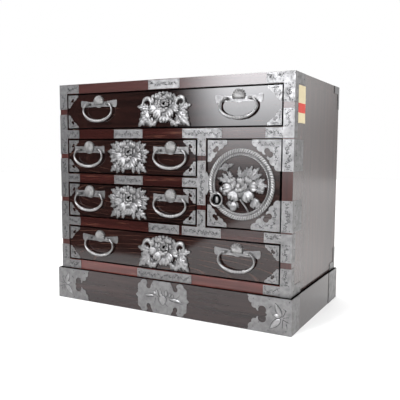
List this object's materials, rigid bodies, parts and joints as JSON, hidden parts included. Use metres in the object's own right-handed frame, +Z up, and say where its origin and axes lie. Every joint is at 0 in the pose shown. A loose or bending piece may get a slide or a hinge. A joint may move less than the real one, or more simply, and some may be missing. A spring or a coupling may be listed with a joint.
{
  "type": "tansu chest",
  "caption": "Low boarded chest on a plinth with wide and narrow drawers, a hinged side door, iron corner plates, swinging bail handles and flower-shaped lock plates.",
  "frame": {"origin": "on the floor under the middle of the body's plan", "axes": "+X to the right seen from the front, +Y to the back, +Z up; the front faces -Y"},
  "size_m": [0.7664, 0.4318, 0.658],
  "materials": {
    "lacquer": "dark red-brown lacquer over grain, glossy",
    "frame_wood": "red-brown lacquer, glossy",
    "pale_wood": "plain planed wood",
    "iron": "chased sheet, satin",
    "bright_iron": "raised and polished work with dark hollows",
    "dark_iron": "plain dark sheet"
  },
  "bodies": {
    "carcass": {"top_board": "frame_wood", "bottom_board": "frame_wood", "left_side": "frame_wood", "right_side": "frame_wood", "back_panel": "pale_wood", "upper_rail": "frame_wood", "middle_rail": "frame_wood", "lower_rail": "frame_wood", "centre_partition": "frame_wood", "dust_panels": "pale_wood", "plinth_frame": "lacquer", "column_plates": "iron", "rail_plates": "iron", "rear_corner_plates": "iron", "plinth_plates": "iron", "hinge_frame_leaves": "iron"},
    "top_drawer": {"top_drawer_front": "lacquer", "top_drawer_tray": "pale_wood", "top_drawer_corner_plates": "iron", "top_drawer_handle_plates": "iron", "top_drawer_lock_plate": "bright_iron", "top_drawer_lock_case": "dark_iron"},
    "top_drawer_bolt": {"top_drawer_lock_bolt": "bright_iron"},
    "top_drawer_left_bail": {"top_drawer_left_bail": "bright_iron"},
    "top_drawer_right_bail": {"top_drawer_right_bail": "bright_iron"},
    "upper_drawer": {"upper_drawer_front": "lacquer", "upper_drawer_tray": "pale_wood", "upper_drawer_corner_plates": "iron", "upper_drawer_handle_plates": "iron", "upper_drawer_lock_plate": "bright_iron", "upper_drawer_lock_case": "dark_iron"},
    "upper_drawer_bolt": {"upper_drawer_lock_bolt": "bright_iron"},
    "upper_drawer_left_bail": {"upper_drawer_left_bail": "bright_iron"},
    "upper_drawer_right_bail": {"upper_drawer_right_bail": "bright_iron"},
    "lower_drawer": {"lower_drawer_front": "lacquer", "lower_drawer_tray": "pale_wood", "lower_drawer_corner_plates": "iron", "lower_drawer_handle_plates": "iron", "lower_drawer_lock_plate": "bright_iron", "lower_drawer_lock_case": "dark_iron"},
    "lower_drawer_bolt": {"lower_drawer_lock_bolt": "bright_iron"},
    "lower_drawer_left_bail": {"lower_drawer_left_bail": "bright_iron"},
    "lower_drawer_right_bail": {"lower_drawer_right_bail": "bright_iron"},
    "bottom_drawer": {"bottom_drawer_front": "lacquer", "bottom_drawer_tray": "pale_wood", "bottom_drawer_corner_plates": "iron", "bottom_drawer_handle_plates": "iron", "bottom_drawer_lock_plate": "bright_iron", "bottom_drawer_lock_case": "dark_iron"},
    "bottom_drawer_bolt": {"bottom_drawer_lock_bolt": "bright_iron"},
    "bottom_drawer_left_bail": {"bottom_drawer_left_bail": "bright_iron"},
    "bottom_drawer_right_bail": {"bottom_drawer_right_bail": "bright_iron"},
    "door": {"door_panel": "lacquer", "door_corner_plates": "iron", "hinge_door_leaves": "iron", "door_band": "bright_iron", "door_peony": "bright_iron", "door_lock": "iron"},
    "door_bolt": {"door_bolt": "bright_iron"},
    "door_pull": {"door_pull_ring": "bright_iron"}
  },
  "joints": [
    {"name": "top_drawer_slide", "type": "slide", "parent": "carcass", "child": "top_drawer", "axis": [0, -1, 0], "range_m": [0, 0.3]},
    {"name": "top_drawer_bolt_slide", "type": "slide", "parent": "top_drawer", "child": "top_drawer_bolt", "axis": [0, 0, 1], "range_m": [0, 0.009]},
    {"name": "top_drawer_left_bail_swing", "type": "hinge", "parent": "top_drawer", "child": "top_drawer_left_bail", "pos_m": [-0.22624, -0.215, 0.597], "axis": [-1, 0, 0], "range_deg": [-3, 110]},
    {"name": "top_drawer_right_bail_swing", "type": "hinge", "parent": "top_drawer", "child": "top_drawer_right_bail", "pos_m": [0.22624, -0.215, 0.597], "axis": [-1, 0, 0], "range_deg": [-3, 110]},
    {"name": "upper_drawer_slide", "type": "slide", "parent": "carcass", "child": "upper_drawer", "axis": [0, -1, 0], "range_m": [0, 0.3]},
    {"name": "upper_drawer_bolt_slide", "type": "slide", "parent": "upper_drawer", "child": "upper_drawer_bolt", "axis": [0, 0, 1], "range_m": [0, 0.009]},
    {"name": "upper_drawer_left_bail_swing", "type": "hinge", "parent": "upper_drawer", "child": "upper_drawer_left_bail", "pos_m": [-0.26374, -0.215, 0.46325], "axis": [-1, 0, 0], "range_deg": [-3, 110]},
    {"name": "upper_drawer_right_bail_swing", "type": "hinge", "parent": "upper_drawer", "child": "upper_drawer_right_bail", "pos_m": [0.02224, -0.215, 0.46325], "axis": [-1, 0, 0], "range_deg": [-3, 110]},
    {"name": "lower_drawer_slide", "type": "slide", "parent": "carcass", "child": "lower_drawer", "axis": [0, -1, 0], "range_m": [0, 0.3]},
    {"name": "lower_drawer_bolt_slide", "type": "slide", "parent": "lower_drawer", "child": "lower_drawer_bolt", "axis": [0, 0, 1], "range_m": [0, 0.009]},
    {"name": "lower_drawer_left_bail_swing", "type": "hinge", "parent": "lower_drawer", "child": "lower_drawer_left_bail", "pos_m": [-0.26374, -0.215, 0.33075], "axis": [-1, 0, 0], "range_deg": [-3, 110]},
    {"name": "lower_drawer_right_bail_swing", "type": "hinge", "parent": "lower_drawer", "child": "lower_drawer_right_bail", "pos_m": [0.02224, -0.215, 0.33075], "axis": [-1, 0, 0], "range_deg": [-3, 110]},
    {"name": "bottom_drawer_slide", "type": "slide", "parent": "carcass", "child": "bottom_drawer", "axis": [0, -1, 0], "range_m": [0, 0.3]},
    {"name": "bottom_drawer_bolt_slide", "type": "slide", "parent": "bottom_drawer", "child": "bottom_drawer_bolt", "axis": [0, 0, 1], "range_m": [0, 0.009]},
    {"name": "bottom_drawer_left_bail_swing", "type": "hinge", "parent": "bottom_drawer", "child": "bottom_drawer_left_bail", "pos_m": [-0.22624, -0.215, 0.197], "axis": [-1, 0, 0], "range_deg": [-3, 110]},
    {"name": "bottom_drawer_right_bail_swing", "type": "hinge", "parent": "bottom_drawer", "child": "bottom_drawer_right_bail", "pos_m": [0.22624, -0.215, 0.197], "axis": [-1, 0, 0], "range_deg": [-3, 110]},
    {"name": "door_hinge", "type": "hinge", "parent": "carcass", "child": "door", "pos_m": [0.345, -0.2081, 0.3765], "axis": [0, 0, 1], "range_deg": [0, 135]},
    {"name": "door_bolt_slide", "type": "slide", "parent": "door", "child": "door_bolt", "axis": [-1, 0, 0], "range_m": [0, 0.009]},
    {"name": "door_pull_swing", "type": "hinge", "parent": "door", "child": "door_pull", "pos_m": [0.16835, -0.216, 0.35215], "axis": [-1, 0, 0], "range_deg": [-1, 100]}
  ]
}
